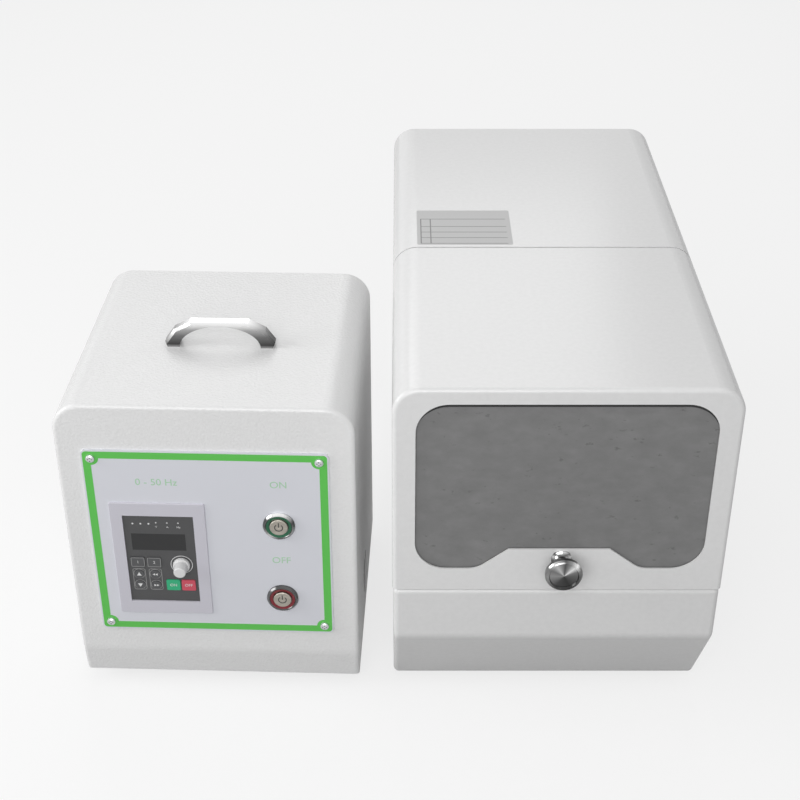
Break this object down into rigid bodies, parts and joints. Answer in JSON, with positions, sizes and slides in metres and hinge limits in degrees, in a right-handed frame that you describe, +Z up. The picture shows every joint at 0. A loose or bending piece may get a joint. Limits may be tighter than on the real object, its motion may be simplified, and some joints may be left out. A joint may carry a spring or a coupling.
{
  "type": "laboratory vibration mill with control box",
  "caption": "Bench vibration mill: a hinged hood over a clamped grinding jar on a sprung motor platform, beside a speed control box with keypad, dial and push buttons.",
  "frame": {"origin": "middle of the whole bounding box, on the bench under the rubber feet", "axes": "+Z up; both fronts face -Y; the mill is at +X and the control box at -X"},
  "size_m": [0.5248, 0.5494, 0.327],
  "materials": {
    "hammered_light": "light hammered powder coat",
    "base_paint": "light smooth powder coat",
    "window_grey": "mottled dark grey hammered coat",
    "feet_rubber": "black rubber",
    "mount_rubber": "black rubber",
    "foam_rubber": "dark foam rubber",
    "zinc": "zinc plated steel",
    "ground_steel": "ground steel",
    "stainless": "satin stainless steel",
    "chrome": "bright chrome",
    "cast_grey": "grey painted cast iron",
    "cover_grey": "grey painted steel",
    "black_plastic": "black moulded plastic",
    "magnet_dark": "nickel plated magnet",
    "panel_print": "printed sheet, pale violet grey with a green border",
    "frame_grey": "pale violet grey plastic",
    "keypad_grey": "dark grey keypad",
    "key_grey": "dark grey keys",
    "display_dark": "near black display window",
    "key_green": "green key",
    "key_red": "red key",
    "dial_white": "white plastic dial",
    "push_steel": "turned metal push face",
    "chassis_paint": "light powder coat"
  },
  "bodies": {
    "mill_base": {"base_tray": "base_paint", "base_feet": "feet_rubber", "rear_housing": "hammered_light", "housing_screws": "zinc", "chamber_bulkhead": "base_paint", "hinge_brackets": "zinc", "catch_magnet": "magnet_dark", "interlock_switch": "black_plastic", "isolation_mounts": "mount_rubber", "motor_inlet": "zinc"},
    "platform": {"platform_plate": "ground_steel", "motor_body": "cast_grey", "motor_end_covers": "cover_grey", "motor_bearings": "ground_steel", "clamp_frame": "cast_grey", "guide_rods": "ground_steel", "jar_seat": "stainless"},
    "rotor_group": {"rotor": "ground_steel", "eccentric_weights": "ground_steel"},
    "screw_group": {"clamp_screw": "ground_steel", "clamp_handwheel": "black_plastic"},
    "jaw_group": {"clamp_jaw": "ground_steel", "jaw_pad": "foam_rubber"},
    "jar": {"jar_body": "stainless", "jar_seal": "foam_rubber", "jar_lid": "stainless"},
    "hood": {"hood_shell": "hammered_light", "window_gasket": "foam_rubber", "window_panel": "window_grey", "hood_fasteners": "zinc", "lid_knob": "chrome", "knob_rosette": "chrome", "hinge_ears": "zinc", "catch_strike": "zinc"},
    "controller": {"controller_case": "hammered_light", "controller_chassis": "chassis_paint", "controller_feet": "feet_rubber", "carry_handle": "chrome", "front_panel": "panel_print", "panel_screws": "zinc", "inverter_frame": "frame_grey", "inverter_body": "black_plastic", "keypad_face": "keypad_grey", "display_window": "display_dark", "button_bezels": "chrome", "fan_frame": "black_plastic", "power_inlet": "black_plastic", "motor_outlet": "zinc"},
    "speed_dial": {"pot_knob": "dial_white"},
    "start_push": {"start_button": "push_steel"},
    "stop_push": {"stop_button": "push_steel"},
    "fan": {"fan_rotor": "black_plastic"},
    "mode_key_cap": {"mode_key": "key_grey"},
    "enter_key_cap": {"enter_key": "key_grey"},
    "up_key_cap": {"up_key": "key_grey"},
    "down_key_cap": {"down_key": "key_grey"},
    "left_key_cap": {"left_key": "key_grey"},
    "right_key_cap": {"right_key": "key_grey"},
    "run_key_cap": {"run_key": "key_green"},
    "reset_key_cap": {"reset_key": "key_red"}
  },
  "joints": [
    {"name": "hood_hinge", "type": "hinge", "parent": "mill_base", "child": "hood", "pos_m": [0.1324, -0.0027, 0.315], "axis": [-1, 0, 0], "range_deg": [0, 85]},
    {"name": "platform_bounce", "type": "slide", "parent": "mill_base", "child": "platform", "axis": [0, 0, 1], "range_m": [-0.003, 0.003], "stiffness_N_per_m": 80000, "springref_m": 0.0018, "deforming": ["isolation_mounts"]},
    {"name": "rotor_spin", "type": "hinge", "parent": "platform", "child": "rotor_group", "pos_m": [0.1324, 0.1163, 0.113], "axis": [1, 0, 0], "continuous": true},
    {"name": "clamp_screw_turn", "type": "hinge", "parent": "platform", "child": "screw_group", "pos_m": [0.1324, -0.1117, 0.097], "axis": [1, 0, 0], "range_deg": [0, 2880]},
    {"name": "jaw_slide", "type": "slide", "parent": "platform", "child": "jaw_group", "axis": [1, 0, 0], "range_m": [0, 0.014]},
    {"name": "jar_lift", "type": "slide", "parent": "platform", "child": "jar", "axis": [0, 0, 1], "range_m": [0, 0.15]},
    {"name": "controller_stand_off", "type": "slide", "parent": "mill_base", "child": "controller", "axis": [-1, 0, 0], "range_m": [0, 0.3]},
    {"name": "dial_turn", "type": "hinge", "parent": "controller", "child": "speed_dial", "pos_m": [-0.17028, -0.2063, 0.133], "axis": [-0.0349, -0.9994, 0], "range_deg": [-300, 0]},
    {"name": "start_press", "type": "slide", "parent": "controller", "child": "start_push", "axis": [0.0349, 0.9994, 0], "range_m": [0, 0.002], "stiffness_N_per_m": 600, "springref_m": -0.001},
    {"name": "stop_press", "type": "slide", "parent": "controller", "child": "stop_push", "axis": [0.0349, 0.9994, 0], "range_m": [0, 0.002], "stiffness_N_per_m": 600, "springref_m": -0.001},
    {"name": "fan_spin", "type": "hinge", "parent": "controller", "child": "fan", "pos_m": [-0.02817, -0.1112, 0.05], "axis": [0.9994, -0.0349, 0], "continuous": true},
    {"name": "mode_key_press", "type": "slide", "parent": "controller", "child": "mode_key_cap", "axis": [0.0349, 0.9994, 0], "range_m": [0, 0.0005], "stiffness_N_per_m": 800, "springref_m": -0.0005},
    {"name": "enter_key_press", "type": "slide", "parent": "controller", "child": "enter_key_cap", "axis": [0.0349, 0.9994, 0], "range_m": [0, 0.0005], "stiffness_N_per_m": 800, "springref_m": -0.0005},
    {"name": "up_key_press", "type": "slide", "parent": "controller", "child": "up_key_cap", "axis": [0.0349, 0.9994, 0], "range_m": [0, 0.0005], "stiffness_N_per_m": 800, "springref_m": -0.0005},
    {"name": "down_key_press", "type": "slide", "parent": "controller", "child": "down_key_cap", "axis": [0.0349, 0.9994, 0], "range_m": [0, 0.0005], "stiffness_N_per_m": 800, "springref_m": -0.0005},
    {"name": "left_key_press", "type": "slide", "parent": "controller", "child": "left_key_cap", "axis": [0.0349, 0.9994, 0], "range_m": [0, 0.0005], "stiffness_N_per_m": 800, "springref_m": -0.0005},
    {"name": "right_key_press", "type": "slide", "parent": "controller", "child": "right_key_cap", "axis": [0.0349, 0.9994, 0], "range_m": [0, 0.0005], "stiffness_N_per_m": 800, "springref_m": -0.0005},
    {"name": "run_key_press", "type": "slide", "parent": "controller", "child": "run_key_cap", "axis": [0.0349, 0.9994, 0], "range_m": [0, 0.0005], "stiffness_N_per_m": 800, "springref_m": -0.0005},
    {"name": "reset_key_press", "type": "slide", "parent": "controller", "child": "reset_key_cap", "axis": [0.0349, 0.9994, 0], "range_m": [0, 0.0005], "stiffness_N_per_m": 800, "springref_m": -0.0005}
  ],
  "couplings": [
    {"joint": "clamp_screw_turn", "follows": "jaw_slide", "rad_per_m": 3590}
  ]
}
